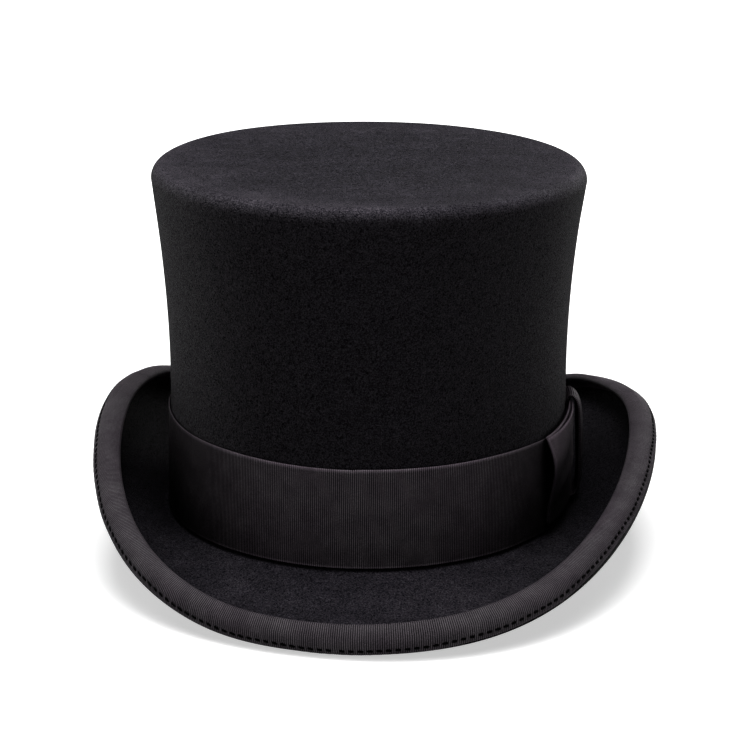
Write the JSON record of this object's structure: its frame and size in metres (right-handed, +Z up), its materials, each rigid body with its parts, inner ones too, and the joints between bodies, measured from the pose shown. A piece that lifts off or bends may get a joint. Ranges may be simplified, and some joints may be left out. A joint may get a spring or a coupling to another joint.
{
  "type": "top hat",
  "caption": "Stiff felt top hat with a flared crown, flat tip, upswept brim with a rolled ribbon-bound edge, ribbed hat band, side bow, leather sweatband and satin lining.",
  "frame": {"origin": "middle of the hat's footprint, on the plane that the front and back dips of the brim stand on", "axes": "+Z up through the crown, -Y to the front of the hat, +X to the wearer's left, the side of the bow"},
  "size_m": [0.2496, 0.3144, 0.1732],
  "materials": {
    "wool_felt": "matte black wool felt with a short nap",
    "grosgrain": "ribbed black ribbon, slight sheen",
    "binding_ribbon": "ribbed black ribbon, slight sheen",
    "thread": "black sewing thread",
    "sweatband_leather": "smooth dark leather",
    "reed_cord": "thin moulded cord",
    "cotton_tape": "plain woven cotton",
    "satin": "black satin, soft sheen",
    "piping_cord": "satin-covered cord",
    "label_cloth": "blank woven label"
  },
  "bodies": {
    "hat": {"felt_body": "wool_felt", "hat_band": "grosgrain", "bow_knot": "grosgrain", "brim_binding": "binding_ribbon", "binding_thread": "thread", "band_tack_front": "thread", "band_tack_rear": "thread", "sweatband": "sweatband_leather", "sweatband_reed": "reed_cord", "reed_cover": "cotton_tape", "sweatband_thread": "thread", "sweatband_seam_tape": "cotton_tape", "sweatband_bow": "grosgrain", "lining_side": "satin", "lining_tip": "satin", "lining_piping": "piping_cord", "size_label": "label_cloth"},
    "bow_front": {"bow_front_loop": "grosgrain"},
    "bow_rear": {"bow_rear_loop": "grosgrain"}
  },
  "joints": [
    {"name": "bow_front_lift", "type": "hinge", "parent": "hat", "child": "bow_front", "pos_m": [0.08516, -0.0081, 0.0459], "axis": [0, 0, 1], "range_deg": [-2, 12], "stiffness_Nm_per_rad": 0.02},
    {"name": "bow_rear_lift", "type": "hinge", "parent": "hat", "child": "bow_rear", "pos_m": [0.0846, 0.01073, 0.0459], "axis": [0, 0, -1], "range_deg": [-2, 12], "stiffness_Nm_per_rad": 0.02}
  ]
}
